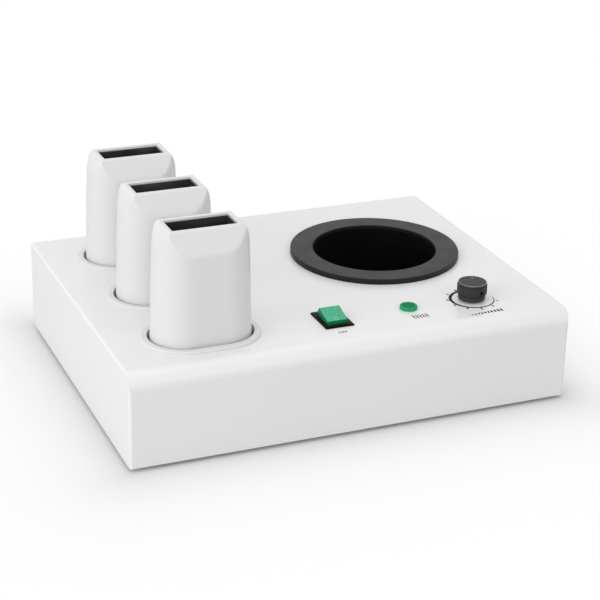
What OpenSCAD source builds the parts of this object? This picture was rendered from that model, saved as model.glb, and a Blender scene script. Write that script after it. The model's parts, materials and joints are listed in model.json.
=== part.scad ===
// Roll-on wax heater: a low sheet-metal housing with a heated pot well, three
// lift-out roll-on cartridge heaters in docks, and a switch, a lamp and a dial.
// Millimetres. Z is up from the table, the front faces -Y, X runs along the front.

/* [Housing] */
// Width of the housing, left to right
case_w = 360; // [352:2:400]
// Depth of the housing, front to back
case_d = 276; // [270:2:300]
// Height of the housing without its feet
case_h = 74; // [70:1:90]
// Thickness of the sheet of the cover and the tray
sheet = 1.5; // [1:0.1:2]
// Outer radius of the bend between the front and the top panel
front_bend_r = 13; // [6:0.5:20]
// Radius of the lower rear corner of each side panel
rear_bend_r = 12; // [6:0.5:16]
// Radius of the upright front edges
edge_r = 2.5; // [2:0.25:5]
// Radius of the edges between the side panels and the top
top_edge_r = 2; // [1.75:0.25:4]
// How far the tray sits inside the cover's lower and rear edges
tray_inset = 2; // [1:0.5:4]
// Gap between the table and the lower edge of the housing
foot_gap = 3; // [2:0.5:10]
// Diameter of a foot where it meets the tray
foot_d = 22; // [18:1:30]

/* [Pot well] */
// Distance from the right side to the middle of the pot well
well_side = 95; // [86:1:100]
// Distance from the rear to the middle of the pot well
well_rear = 115; // [108:1:122]
// Inner diameter of the pot well
well_bore_d = 103; // [98:0.5:106]
// Depth of the pot well below the ring's top
well_depth = 62.5; // [50:0.5:64]
// Wall of the pot well
well_wall = 1.5; // [1:0.1:2.5]
// Outer diameter of the ring round the pot well
ring_d = 141; // [132:1:150]
// Height of the ring above the panel
ring_h = 4.5; // [3:0.5:8]

/* [Controls] */
// Distance from the front to the row of controls
control_front = 44.5; // [40:0.5:46]
// Distance from the right side to the middle of the dial
dial_side = 63.8; // [56:0.2:70]
// Distance from the right side to the middle of the lamp
lamp_side = 118.9; // [110:0.1:130]
// Distance from the right side to the middle of the switch
switch_side = 183.5; // [170:0.5:190]
// Width of the switch bezel
bezel_w = 23.3; // [22:0.1:25]
// Length of the switch bezel
bezel_l = 31; // [30:0.1:33]
// Height of the switch bezel above the panel
bezel_h = 1.5; // [1:0.1:2.5]
// Width of the rocker
rocker_w = 17; // [14:0.1:17]
// Length of the rocker's top
rocker_l = 17.6; // [16:0.1:19]
// Height of the rocker's top above its pivot
rocker_h = 7.4; // [5.5:0.1:8]
// Tilt of the rocker from its middle position, each way
rocker_tilt = 15; // [8:1:16]
// Diameter of the knob's collar
knob_d = 23.8; // [22:0.2:27]
// Height of the knob
knob_h = 14.2; // [13.8:0.2:18]
// Diameter of the thermostat's shaft
shaft_d = 6; // [5:0.5:6.5]
// Diameter of the lamp's lens
lens_d = 13.8; // [12:0.2:16]
// Height of the lamp's lens above the panel
lens_h = 2.8; // [1.6:0.2:4]

/* [Roll-on heaters] */
// Distance from the left side to the middle of the row of docks
dock_side = 73; // [68:0.5:76]
// Distance from the front and from the rear to the middle of the nearest dock
dock_end = 53; // [50:0.5:58]
// Depth of the dock's pocket below the panel
dock_depth = 14; // [8:0.5:16]
// Gap round the roll-on heater's foot in its pocket
dock_gap = 1.9; // [1:0.1:3]
// Width of the dock's rim
dock_rim_w = 5; // [4:0.25:6]
// Height of the dock's rim above the panel
dock_rim_h = 2.2; // [1.5:0.1:4]
// Length of a roll-on heater's foot
body_l = 78.6; // [74:0.2:80]
// Depth of a roll-on heater's foot, front to back
body_t = 52; // [48:0.5:54]
// Height of a roll-on heater above the panel
body_h = 90; // [80:1:110]
// Length of the flat top of a roll-on heater
crown_l = 57.5; // [56:0.5:62]
// Depth of the flat top of a roll-on heater
crown_t = 30; // [28:0.5:32]
// Height of the sloping front and rear faces under the top
face_drop = 16.5; // [12:0.5:20]
// Height of the curved end faces under the top
end_drop = 26; // [20:1:30]
// How much narrower the body is at the top, on each side
body_draft = 2.8; // [1:0.1:3]
// Wall of the roll-on heater's shell
shell_t = 2.2; // [1.5:0.1:2.5]
// Length of the cartridge slot
slot_l = 48.5; // [46:0.5:50]
// Depth of the cartridge slot, front to back
slot_t = 20; // [16:0.2:21]
// Depth of the cartridge chamber below the top
chamber_depth = 80; // [60:1:84]

/* [Power inlet] */
// Distance from the right side to the middle of the power inlet
inlet_side = 180; // [130:5:230]
// Height of the power inlet's middle above the table
inlet_z = 40; // [34:1:44]

/* [Fits] */
// Gap round a shaft or pin that turns or slides in its hole
run_fit = 0.05; // [0.02:0.01:0.1]
// Gap between a moving piece and the piece that it rests on
rest_gap = 0.3; // [0.2:0.05:0.5]
// Gap round a piece that passes through the panel
panel_fit = 0.3; // [0.2:0.05:0.6]

/* [Hidden] */
$fn = 96;
eps = 0.5;

// Levels and faces of the housing
case_z = foot_gap;
panel_z = case_z + case_h;
under_z = panel_z - sheet;
front_y = -case_d / 2;
rear_y = case_d / 2;
inner_w = case_w - 2 * sheet;
tray_z = case_z + tray_inset;
floor_z = tray_z + sheet;
tray_rear = rear_y - tray_inset;
tray_front = front_y + sheet;
tray_bend_r = rear_bend_r - tray_inset;

// Screws: shank, hole and head
screw_r = 2;
screw_hole_r = 2.2;
screw_past = 5;
rear_screw_l = 8;
head_r = 3.9;
head_h = 1.8;
cross_t = 0.9;
hole_fit = 0.2;

// Brackets between the cover and the tray
bracket_w = 16;
bracket_leg = 30;
bracket_up = 22;
bracket_t = 2;
bracket_in = 20;
bracket_reach = 18;
bracket_end = 26;
bracket_x = inner_w / 2 - bracket_in;
bracket_y = case_d / 2 - bracket_end;
rear_bracket_in = 20.5;
rear_bracket_x = inner_w / 2 - rear_bracket_in;
rear_bracket_down = 15;
rear_bracket_z = panel_z - rear_bracket_down;

// Tray flanges and vents
flange_h = 13;
side_flange_l = 180;
top_flange = 9;
vent_l = 34;
vent_w = 3;
vent_pitch = 8;
vent_count = 9;
vent_front = 78;
vent_rear = 48;
vent_ys = [vent_front - case_d / 2, case_d / 2 - vent_rear];

// Feet
foot_r = foot_d / 2;
foot_toe_r = foot_r - 1;
foot_recess_r = 4.6;
foot_recess = 2.5;

// Places of what shows on the panel, X from the middle to the right, Y to the back
well_x = case_w / 2 - well_side;
well_y = case_d / 2 - well_rear;
control_y = case_d / 2 - control_front;
dial_x = case_w / 2 - dial_side;
lamp_x = case_w / 2 - lamp_side;
switch_x = switch_side - case_w / 2;
dock_x = case_w / 2 - dock_side;
dock_pitch = case_d / 2 - dock_end;
dock_ys = [-dock_pitch, 0, dock_pitch];
inlet_x = case_w / 2 - inlet_side;

// Pot well
well_r = well_bore_d / 2;
well_out_r = well_r + well_wall;
well_top = panel_z + ring_h;
well_floor = well_top - well_depth;
well_base = 2;
well_under = well_floor - well_base;
well_corner_r = 6;
well_flange_r = well_out_r + 7;
well_hole_r = well_out_r + panel_fit;
ring_r = ring_d / 2;
ring_bore_r = well_r + 0.1;
ring_round = 0.9;
ring_lip_round = 0.8;
ring_screw_r = (well_flange_r + ring_r) / 2;
ring_screw_as = [45 : 90 : 315];
ring_tap_r = 1.5;
ring_tap_h = 2.6;
ring_tap_end = 0.4;
ring_screw_head_r = 2.9;
ring_screw_head_h = 1.6;

// Heater band, its clamp and the wool round it
band_t = 2.5;
band_lo = well_under + 7;
band_hi = band_lo + 28;
band_r = well_out_r + band_t;
band_slit = 3;
band_ear = 9;
band_ear_t = 2;
band_ear_h = 12;
clamp_z = band_lo + 14;
clamp_x = band_r + band_ear / 2;
clamp_r = 1.5;
clamp_past = 3;
clamp_head_r = 2.8;
clamp_head_h = 1.8;
clamp_nut_h = 2.2;
band_box_w = 16;
band_box_h = 16;
band_box_y = band_r + 9.5;
clamp_a = 60;
wool_t = 6;
wool_lo = band_lo - 3;
wool_hi = band_hi + 6;
wool_r = band_r + wool_t;
wool_gap = 16;
window_gap = 1;

// Hold-down screw of the well
boss_r = 5;
boss_h = 5;
spacer_r = 6;
well_screw_tip = well_under - 1.5;

// Thermostat
stat_w = 36;
stat_l = 32;
stat_h = 20;
stat_plate_w = 42;
stat_plate_t = 1.5;
bush_r = 5;
bush_top = panel_z + 3.5;
stat_low = under_z - stat_plate_t - stat_h;
nut_h = 2.5;
nut_r = 8;
shaft_r = shaft_d / 2;
shaft_bore_r = shaft_r + run_fit;
shaft_low = stat_low + 3;
shaft_flat = 0.7;
stat_blade_pitch = 10;
stat_blade_y = 9;
shaft_top = panel_z + 11.6;
bulb_r = 3;
bulb_l = 52;
bulb_in = 20;
bulb_y = well_y - bulb_in;
bulb_z = well_under - bulb_r;
tube_r = 0.9;
tube_x = 14;
fuse_r = 2.5;
fuse_l = 12;
fuse_in = 20;
fuse_y = well_y + fuse_in;
fuse_z = well_under - fuse_r;
lead_r = 0.7;
lead_l = 12;
clip_t = 0.8;
clip_w = 10;
clip_ear = 5;

// Knob
knob_gap = 1;
knob_z = panel_z + knob_gap;
knob_r = knob_d / 2;
knob_foot_r = knob_r - 1;
knob_neck_r = knob_r - 1.4;
knob_foot_h = 4;
knob_neck_h = 0.8;
knob_cap_r = knob_r - 0.6;
knob_cap_h = 1.9;
rim_h = 0.5;
rim_t = 0.6;
rim_bevel = 0.25;
knob_top = knob_z + knob_h;
knob_cavity_r = 9;
knob_cavity_h = 4.2;
flute_count = 48;
flute_r = 0.45;
flute_out = 0.15;
flute_in = 0.3;
collar_z = knob_foot_h + knob_neck_h;
collar_edge = 0.4;
foot_round = 0.8;
collar_top = knob_h - knob_cap_h;
pointer_a = 65;
pointer_l = 4.5;
pointer_w = 1.1;
pointer_sink = 0.4;
pointer_r = 6.9;
set_a = -77;
set_r = 1.3;
set_hole_r = 1.6;
set_z = knob_z + 7.9;
set_l = 5;
set_hole_x = 5.5;
set_hex_r = 0.8;
set_hex_h = 1.5;

// Rocker switch
pivot_z = panel_z - 1;
well_gap = 0.45;
rocker_body_l = 23;
rocker_dish = 0.5;
rocker_shoulder = 0.6;
rocker_side = 4;
rocker_low = 6.2;
rocker_low_in = 3.5;
rocker_wall = 1.5;
rocker_skid = 4.5;
rocker_hollow = 2;
switch_w = 19.4;
switch_l = 27.6;
switch_depth = 20;
switch_well_l = rocker_body_l + 2 * well_gap + 0.6;
bezel_step = 0.5;
latch_w = 8;
latch_t = 0.65;
latch_h = 4;
switch_well_w = rocker_w + 2 * well_gap;
switch_well_h = 9.5;
trunnion_r = 1.4;
trunnion_l = 1.1;
blade_w = 6.3;
blade_t = 0.8;
blade_h = 9;
blade_gap = 18;

// Lamp
lens_r = lens_d / 2;
lens_bevel = 0.4;
lens_rim_t = 1;
lens_dish = 0.2;
lamp_r = 5.9;
lamp_h = 20;
lamp_wall = 1.2;
lamp_floor = 3;
lamp_nut_r = 9;
lamp_nut_h = 3;
lens_plug = 4;

// Docks
foot_half_t = body_t / 2;
body_c = (body_l - body_t) / 2;
pocket_r = foot_half_t + dock_gap;
pocket_wall = 1.6;
pocket_out_r = pocket_r + pocket_wall;
pocket_z = panel_z - dock_depth;
pocket_floor = 2;
rim_r = pocket_r + dock_rim_w;
rim_edge = 0.9;
dock_hole_r = pocket_out_r + panel_fit;
retainer_t = 2;
retainer_w = 4.5;
pin_r = 2;
pin_pitch = 12;
pin_up = 9;
pin_tip = 1;
pin_tip_r = 1.2;
pin_collar_r = 3;
pin_collar_h = 1.5;
pin_tail_r = 1.5;
pin_tail = 7;

// Roll-on heaters
body_z = pocket_z + rest_gap;
body_top = panel_z + body_h;
body_full = body_top - body_z;
crown_half_l = crown_l / 2;
crown_half_t = crown_t / 2;
top_r = foot_half_t - body_draft;
base_h = 6;
base_fit = 0.1;
base_r = foot_half_t - shell_t - body_draft * base_h / body_full - base_fit;
chamber_t = 1;
chamber_fit = 0.1;
chamber_sunk = 1.7;
chamber_top = body_top - chamber_sunk;
crown_low = body_top - shell_t;
chamber_floor = body_top - chamber_depth;
slot_edge = chamber_t + chamber_fit;
pad_l = 40;
pad_t = 3;
pad_h = 46;
pad_up = 10;
pad_z = chamber_floor + pad_up;
socket_r = pin_r + run_fit;
socket_out_r = 3;
socket_h = 13;
socket_spare = 1;
socket_boss = 1.2;
socket_boss_h = 4;
heater_lead_r = 0.9;

// Power inlet: the standard three-pin appliance size
inlet_flange_w = 50;
inlet_flange_h = 24;
inlet_body_w = 28;
inlet_body_h = 20;
inlet_body_d = 24;
inlet_well_w = 24.2;
inlet_well_h = 16.6;
inlet_well_d = 16;
inlet_corner = 4.5;
inlet_screw_x = 20;
inlet_screw_r = 1.5;
inlet_screw_in = 6;
inlet_hole_r = inlet_screw_r + 0.1;
inlet_nut_r = 3;
inlet_nut_h = 2.4;
pin_blade_w = 4;
pin_blade_t = 2;
pin_blade_sunk = 3;
pin_blade_x = 7;
pin_blade_z = 2;
tab_l = 8;
blade_places = [[-pin_blade_x, -pin_blade_z], [pin_blade_x, -pin_blade_z], [0, pin_blade_z]];

// Terminal block, earth stud and wires
block_left = 10;
block_rear = 78;
block_x = inlet_x - block_left;
block_y = case_d / 2 - block_rear;
block_l = 40;
block_w = 16;
block_h = 18;
block_ways = 4;
block_screw_r = 2.6;
block_screw_h = 5;
block_slit = 1;
block_slit_h = 3;
port_z = floor_z + 8.5;
stud_left = 10;
stud_back = 35;
stud_x = block_x - stud_left;
stud_y = block_y + stud_back;
stud_r = 2;
stud_h = 6;
stud_nut_r = 4;
stud_nut_h = 3.2;
wire_r = 2;
feed_wire_r = 1.8;
lead_wire_r = 1.5;
pin_wire_r = 1.2;
bend_sleeve = 0.4;
trunk_in = 50;
trunk_x = trunk_in - dock_x;
trunk_z = 45;

// ---------- shared shapes ----------

module mirrored_x() {
  children();
  mirror([1, 0, 0]) children();
}

module mirrored_y() {
  children();
  mirror([0, 1, 0]) children();
}

// A box that is centred in X and Y and stands on z = 0
module block(w, d, h) {
  translate([-w / 2, -d / 2, 0]) cube([w, d, h]);
}

// Draws a Y-Z outline as a solid of width w, centred on X
module across(w) {
  rotate([90, 0, 90]) translate([0, 0, -w / 2]) linear_extrude(w) children();
}

// Draws an X-Z outline as a solid of depth d, centred on Y
module along(d) {
  rotate([90, 0, 0]) translate([0, 0, -d / 2]) linear_extrude(d) children();
}

// A rectangle with two half circles as its ends
module stadium(c, r) {
  square([2 * c, 2 * r], center = true);
  mirrored_x() translate([c, 0]) circle(r);
}

// A stadium-shaped column whose radius runs from r1 to r2
module stadium_column(c, r1, r2, h) {
  mirrored_x() translate([c, 0, 0]) cylinder(r1 = r1, r2 = r2, h = h);
  across(2 * c) polygon([[-r1, 0], [r1, 0], [r2, h], [-r2, h]]);
}

// A round bar from point p to point q
module bar(p, q, r) {
  v = q - p;
  n = norm(v);
  translate(p) rotate([0, acos(v[2] / n), atan2(v[1], v[0])]) cylinder(r = r, h = n, $fn = 24);
}

// A bent wire through a list of points, flat at both ends, with a sleeve at each bend
module wire(points, r) {
  last = len(points) - 1;
  for (i = [0 : last - 1]) bar(points[i], points[i + 1], r);
  for (i = [1 : 1 : last - 1]) translate(points[i]) sphere(r + bend_sleeve, $fn = 32);
}

// ---------- housing ----------

// Side view of the cover: bent at the front top, rounded at the lower rear
module side_outline() {
  polygon([
    [front_y, case_z], [rear_y - rear_bend_r, case_z], [rear_y, case_z + rear_bend_r],
    [rear_y, panel_z], [front_y + front_bend_r, panel_z], [front_y, panel_z - front_bend_r]
  ]);
  translate([front_y + front_bend_r, panel_z - front_bend_r]) circle(front_bend_r);
  translate([rear_y - rear_bend_r, case_z + rear_bend_r]) circle(rear_bend_r);
}

// Side view of the space under the cover, open below and behind
module cavity_outline() {
  polygon([
    [tray_front, case_z - eps], [rear_y + eps, case_z - eps], [rear_y + eps, under_z],
    [front_y + front_bend_r, under_z], [tray_front, panel_z - front_bend_r]
  ]);
  translate([front_y + front_bend_r, panel_z - front_bend_r]) circle(front_bend_r - sheet);
}

// What is cut off a square corner at the origin to leave a round one of radius r
module corner_waste(r) {
  difference() {
    translate([-eps, -eps]) square(r + eps);
    translate([r, r]) circle(r);
  }
}

module panel_cuts() {
  for (y = dock_ys) translate([-dock_x, y, under_z - eps]) linear_extrude(sheet + 2 * eps)
    stadium(body_c, dock_hole_r);
  translate([well_x, well_y, under_z - eps]) cylinder(r = well_hole_r, h = sheet + 2 * eps);
  translate([well_x, well_y, under_z - eps]) for (a = ring_screw_as) rotate(a)
    translate([ring_screw_r, 0, 0]) cylinder(r = ring_tap_r + hole_fit, h = sheet + 2 * eps);
  translate([-switch_x, -control_y, under_z - eps])
    block(switch_w + panel_fit, switch_l + panel_fit, sheet + 2 * eps);
  translate([lamp_x, -control_y, under_z - eps]) cylinder(r = lamp_r + hole_fit, h = sheet + 2 * eps);
  translate([dial_x, -control_y, under_z - eps]) cylinder(r = bush_r + hole_fit, h = sheet + 2 * eps);
}

module cover() {
  color("whitesmoke") difference() {
    across(case_w) side_outline();
    across(inner_w) cavity_outline();
    mirrored_x() translate([-case_w / 2, front_y, 0]) linear_extrude(panel_z + eps)
      corner_waste(edge_r);
    mirrored_x() along(case_d + 2 * eps) translate([-case_w / 2, panel_z]) mirror([0, 1])
      corner_waste(top_edge_r);
    panel_cuts();
  }
}

// Side view of the tray: a floor that bends up into the rear wall
module tray_outline() {
  bend_y = tray_rear - tray_bend_r;
  bend_z = tray_z + tray_bend_r;
  difference() {
    union() {
      translate([tray_front, tray_z]) square([bend_y - tray_front, sheet]);
      translate([tray_rear - sheet, bend_z]) square([sheet, under_z - bend_z]);
      intersection() {
        translate([bend_y, bend_z]) circle(tray_bend_r);
        translate([bend_y, tray_z]) square(tray_bend_r);
      }
      translate([tray_rear - sheet - top_flange, under_z - sheet]) square([top_flange + eps, sheet]);
      translate([tray_front, tray_z]) square([sheet, flange_h]);
    }
    translate([bend_y, bend_z]) circle(tray_bend_r - sheet);
  }
}

module vent_row() {
  for (i = [0 : vent_count - 1])
    translate([(i - (vent_count - 1) / 2) * vent_pitch, 0, 0]) children();
}

// One vent slot with round ends, cut through a sheet that lies flat
module vent_slot() {
  linear_extrude(sheet + 2 * eps) rotate(90) stadium((vent_l - vent_w) / 2, vent_w / 2);
}

module base_tray() {
  color("silver") difference() {
    union() {
      across(inner_w) tray_outline();
      mirrored_x() translate([inner_w / 2 - sheet, -side_flange_l / 2, tray_z])
        cube([sheet, side_flange_l, flange_h]);
    }
    mirrored_x() mirrored_y() translate([bracket_x, bracket_y, tray_z - eps])
      cylinder(r = screw_hole_r, h = sheet + 2 * eps);
    mirrored_x() translate([rear_bracket_x, tray_rear + eps, rear_bracket_z]) rotate([90, 0, 0])
      cylinder(r = screw_hole_r, h = sheet + 2 * eps);
    translate([well_x, well_y, tray_z - eps]) cylinder(r = screw_hole_r, h = sheet + 2 * eps);
    for (y = vent_ys) translate([well_x, y, tray_z - eps]) vent_row() vent_slot();
    translate([-dock_x, 0, tray_z - eps]) vent_row() vent_slot();
    translate([inlet_x, tray_rear + eps, inlet_z]) rotate([90, 0, 0]) linear_extrude(sheet + 2 * eps)
      square([inlet_body_w + 2 * hole_fit, inlet_body_h + 2 * hole_fit], center = true);
    translate([inlet_x, tray_rear + eps, inlet_z]) mirrored_x() translate([inlet_screw_x, 0, 0])
      rotate([90, 0, 0]) cylinder(r = inlet_screw_r + hole_fit, h = sheet + 2 * eps);
  }
}

module floor_bracket() {
  leg_x = inner_w / 2 - bracket_leg;
  difference() {
    union() {
      translate([leg_x, -bracket_w / 2, floor_z]) cube([bracket_leg, bracket_w, bracket_t]);
      translate([inner_w / 2 - bracket_t, -bracket_w / 2, floor_z]) cube([bracket_t, bracket_w, bracket_up]);
    }
    translate([bracket_x, 0, floor_z - eps]) cylinder(r = screw_r, h = bracket_t + 2 * eps);
  }
}

module rear_bracket() {
  wall_y = tray_rear - sheet;
  shelf_z = under_z - sheet - bracket_t;
  low_z = rear_bracket_z - bracket_w / 2;
  difference() {
    union() {
      translate([-bracket_w / 2, wall_y - bracket_t, low_z])
        cube([bracket_w, bracket_t, under_z - sheet - low_z]);
      translate([-bracket_w / 2, wall_y - bracket_reach, shelf_z])
        cube([bracket_w, bracket_reach, bracket_t]);
      translate([-bracket_w / 2, wall_y - bracket_reach, shelf_z])
        cube([bracket_w, bracket_reach - top_flange, sheet + bracket_t]);
    }
    translate([0, wall_y + eps, rear_bracket_z]) rotate([90, 0, 0])
      cylinder(r = screw_r, h = bracket_t + 2 * eps);
  }
}

module cover_brackets() {
  color("gray") {
    mirrored_x() mirrored_y() translate([0, bracket_y, 0]) floor_bracket();
    mirrored_x() translate([rear_bracket_x, 0, 0]) rear_bracket();
  }
}

// A pan-head screw that points up, its shank from z = 0, its head below
module screw(r, l, hr, hh) {
  cylinder(r = r, h = l);
  difference() {
    translate([0, 0, -hh]) cylinder(r = hr, h = hh);
    for (a = [0, 90]) rotate(a) translate([0, 0, -hh - eps]) block(hr * 1.2, cross_t, hh / 2 + eps);
  }
}

module case_screws() {
  color("dimgray") {
    mirrored_x() mirrored_y() translate([bracket_x, bracket_y, foot_recess])
      screw(screw_r, floor_z + screw_past - foot_recess, head_r, head_h);
    mirrored_x() translate([rear_bracket_x, tray_rear, rear_bracket_z]) rotate([90, 0, 0])
      screw(screw_r, rear_screw_l, head_r, head_h);
  }
}

module foot() {
  difference() {
    cylinder(r1 = foot_toe_r, r2 = foot_r, h = tray_z);
    translate([0, 0, -eps]) cylinder(r = foot_recess_r, h = foot_recess + eps);
    cylinder(r = screw_hole_r, h = tray_z + eps);
  }
}

module feet() {
  color("black") mirrored_x() mirrored_y() translate([bracket_x, bracket_y, 0]) foot();
}

// ---------- pot well ----------

module well_ring() {
  flange_top = panel_z + well_wall;
  color("dimgray") translate([well_x, well_y, 0]) difference() {
    rotate_extrude() difference() {
      union() {
        translate([ring_bore_r, flange_top])
          square([ring_r - ring_bore_r - ring_round, ring_h - well_wall - ring_lip_round]);
        translate([ring_bore_r + ring_lip_round, flange_top])
          square([ring_r - ring_bore_r - ring_round - ring_lip_round, ring_h - well_wall]);
        translate([well_flange_r, panel_z])
          square([ring_r - well_flange_r, ring_h - ring_round]);
        translate([ring_bore_r + ring_lip_round, well_top - ring_lip_round]) circle(ring_lip_round);
        translate([ring_r - ring_round, well_top - ring_round]) circle(ring_round);
      }
      translate([ring_bore_r - eps, panel_z - eps])
        square([well_flange_r - ring_bore_r + eps, well_wall + eps]);
    }
    for (a = ring_screw_as) rotate(a) translate([ring_screw_r, 0, panel_z - eps])
      cylinder(r = ring_tap_r, h = ring_tap_h + eps);
  }
}

module ring_screws() {
  color("silver") translate([well_x, well_y, under_z]) for (a = ring_screw_as) rotate(a)
    translate([ring_screw_r, 0, 0])
      screw(ring_tap_r, sheet + ring_tap_h - ring_tap_end, ring_screw_head_r, ring_screw_head_h);
}

module heating_well() {
  color("black") translate([well_x, well_y, 0]) difference() {
    union() {
      rotate_extrude() difference() {
        union() {
          translate([0, well_under]) square([well_out_r - well_corner_r, well_base + well_corner_r]);
          translate([0, well_under + well_corner_r])
            square([well_out_r, panel_z + well_wall - well_under - well_corner_r]);
          translate([well_out_r - well_corner_r, well_under + well_corner_r]) circle(well_corner_r);
          translate([0, panel_z]) square([well_flange_r, well_wall]);
        }
        translate([0, well_floor]) square([well_r - well_corner_r + well_wall, well_top]);
        translate([0, well_floor + well_corner_r - well_wall]) square([well_r, well_top]);
        translate([well_r - well_corner_r + well_wall, well_floor + well_corner_r - well_wall])
          circle(well_corner_r - well_wall);
      }
      translate([0, 0, well_under - boss_h]) cylinder(r = boss_r, h = boss_h + well_base / 2);
    }
    translate([0, 0, well_under - boss_h - eps]) cylinder(r = screw_r, h = boss_h + eps);
  }
}

module band_heater() {
  color("goldenrod") translate([well_x, well_y, 0]) {
    difference() {
      union() {
        translate([0, 0, band_lo]) cylinder(r = band_r, h = band_hi - band_lo);
        rotate(clamp_a) translate([band_r - eps, -band_slit / 2 - band_ear_t, clamp_z - band_ear_h / 2])
          cube([band_ear + eps, band_slit + 2 * band_ear_t, band_ear_h]);
        translate([0, -band_box_y / 2, (band_lo + band_hi - band_box_h) / 2])
          block(band_box_w, band_box_y, band_box_h);
      }
      translate([0, 0, band_lo - eps]) cylinder(r = well_out_r, h = band_hi - band_lo + 2 * eps);
      rotate(clamp_a) translate([well_r, -band_slit / 2, band_lo - eps])
        cube([well_wall + band_t + band_ear + eps, band_slit, band_hi - band_lo + 2 * eps]);
      rotate(clamp_a) translate([clamp_x, 0, clamp_z]) rotate([90, 0, 0])
        cylinder(r = clamp_r, h = wool_gap, center = true);
    }
  }
}

module band_clamp_screw() {
  l = band_slit + 2 * band_ear_t;
  color("silver") translate([well_x, well_y, clamp_z]) rotate(clamp_a)
    translate([clamp_x, l / 2, 0]) rotate([90, 0, 0]) {
      screw(clamp_r, l + clamp_past, clamp_head_r, clamp_head_h);
      translate([0, 0, l]) cylinder(r = clamp_head_r, h = clamp_nut_h, $fn = 6);
    }
}

module well_insulation() {
  color("khaki") translate([well_x, well_y, 0]) difference() {
    translate([0, 0, wool_lo]) cylinder(r = wool_r, h = wool_hi - wool_lo);
    translate([0, 0, wool_lo - eps]) cylinder(r = well_out_r, h = wool_hi - wool_lo + 2 * eps);
    translate([0, 0, band_lo]) cylinder(r = band_r, h = band_hi - band_lo);
    rotate(clamp_a) translate([well_r, -wool_gap / 2, wool_lo - eps]) cube([wool_r, wool_gap, wool_hi]);
    translate([0, -wool_r, (band_lo + band_hi - band_box_h) / 2 - window_gap])
      block(band_box_w + 2 * window_gap, wool_r, band_box_h + 2 * window_gap);
  }
}

module well_spacer() {
  color("ivory") translate([well_x, well_y, floor_z]) difference() {
    cylinder(r = spacer_r, h = well_under - boss_h - floor_z);
    translate([0, 0, -eps]) cylinder(r = screw_hole_r, h = well_under);
  }
}

module well_screw() {
  color("silver") translate([well_x, well_y, tray_z])
    screw(screw_r, well_screw_tip - tray_z, head_r, head_h);
}

// ---------- thermostat and sensors ----------

module thermostat_body() {
  color("saddlebrown") translate([dial_x, -control_y, 0]) difference() {
    union() {
      translate([0, 0, stat_low]) block(stat_w, stat_l, stat_h);
      translate([0, 0, under_z - stat_plate_t]) block(stat_plate_w, stat_l, stat_plate_t);
      translate([0, 0, under_z - stat_plate_t]) cylinder(r = bush_r, h = bush_top - under_z + stat_plate_t);
    }
    translate([0, 0, shaft_low - rest_gap]) cylinder(r = shaft_bore_r, h = bush_top);
  }
}

module thermostat_terminals() {
  color("gold") for (i = [-1 : 1])
    translate([dial_x + i * stat_blade_pitch, stat_blade_y - control_y, stat_low - blade_h])
      block(blade_t, blade_w, blade_h);
}

module thermostat_shaft() {
  color("silver") translate([dial_x, -control_y, 0]) difference() {
    translate([0, 0, shaft_low]) cylinder(r = shaft_r, h = shaft_top - shaft_low);
    rotate(set_a) translate([shaft_r - shaft_flat, -shaft_r, bush_top + rest_gap])
      cube([shaft_r, 2 * shaft_r, shaft_top]);
  }
}

module thermostat_nut() {
  color("silver") translate([dial_x, -control_y, panel_z]) difference() {
    cylinder(r = nut_r, h = nut_h, $fn = 6);
    translate([0, 0, -eps]) cylinder(r = bush_r, h = nut_h + 2 * eps);
  }
}

module thermostat_bulb() {
  tail_x = well_x + bulb_l / 2;
  color("peru") {
    translate([well_x - bulb_l / 2, bulb_y, bulb_z]) rotate([0, 90, 0]) cylinder(r = bulb_r, h = bulb_l);
    wire([
      [tail_x, bulb_y, bulb_z], [tail_x + 12, bulb_y, bulb_z], [tail_x + 44, bulb_y - 40, bulb_z],
      [tail_x + 30, -control_y, stat_low - 20], [dial_x + tube_x, -control_y, stat_low - 12],
      [dial_x + tube_x, -control_y, stat_low]
    ], tube_r);
  }
}

// A strap under the pot's floor that holds a round sensor of radius r
module sensor_clip(r) {
  out = r + clip_t;
  difference() {
    union() {
      rotate([0, 90, 0]) cylinder(r = out, h = clip_w, center = true);
      block(clip_w, 2 * out, r);
      translate([0, 0, r - clip_t]) block(clip_w, 2 * out + 2 * clip_ear, clip_t);
    }
    rotate([0, 90, 0]) cylinder(r = r, h = clip_w + 2 * eps, center = true);
    block(clip_w + 2 * eps, 2 * r, r + eps);
    translate([0, 0, r]) block(clip_w + 2 * eps, 2 * out + 3 * clip_ear, out);
  }
}

module sensor_clips() {
  color("silver") {
    translate([well_x, bulb_y, bulb_z]) sensor_clip(bulb_r);
    translate([well_x, fuse_y, fuse_z]) sensor_clip(fuse_r);
  }
}

module thermal_fuse() {
  color("gold") translate([well_x, fuse_y, fuse_z]) rotate([0, 90, 0]) {
    cylinder(r = fuse_r, h = fuse_l, center = true);
    cylinder(r = lead_r, h = fuse_l + 2 * lead_l, center = true);
  }
}

// ---------- knob ----------

module knob_profile() {
  polygon([
    [0, 0], [knob_foot_r - foot_round, 0], [knob_foot_r, foot_round],
    [knob_foot_r, knob_foot_h], [knob_neck_r, knob_foot_h + collar_edge],
    [knob_neck_r, collar_z], [knob_r, collar_z + collar_edge],
    [knob_r, collar_top - collar_edge], [knob_r - collar_edge, collar_top],
    [knob_cap_r - rim_bevel, collar_top], [knob_cap_r - rim_bevel, knob_h - rim_h],
    [knob_cap_r - rim_t, knob_h - rim_h], [knob_cap_r - rim_t, knob_h], [0, knob_h]
  ]);
}

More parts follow.
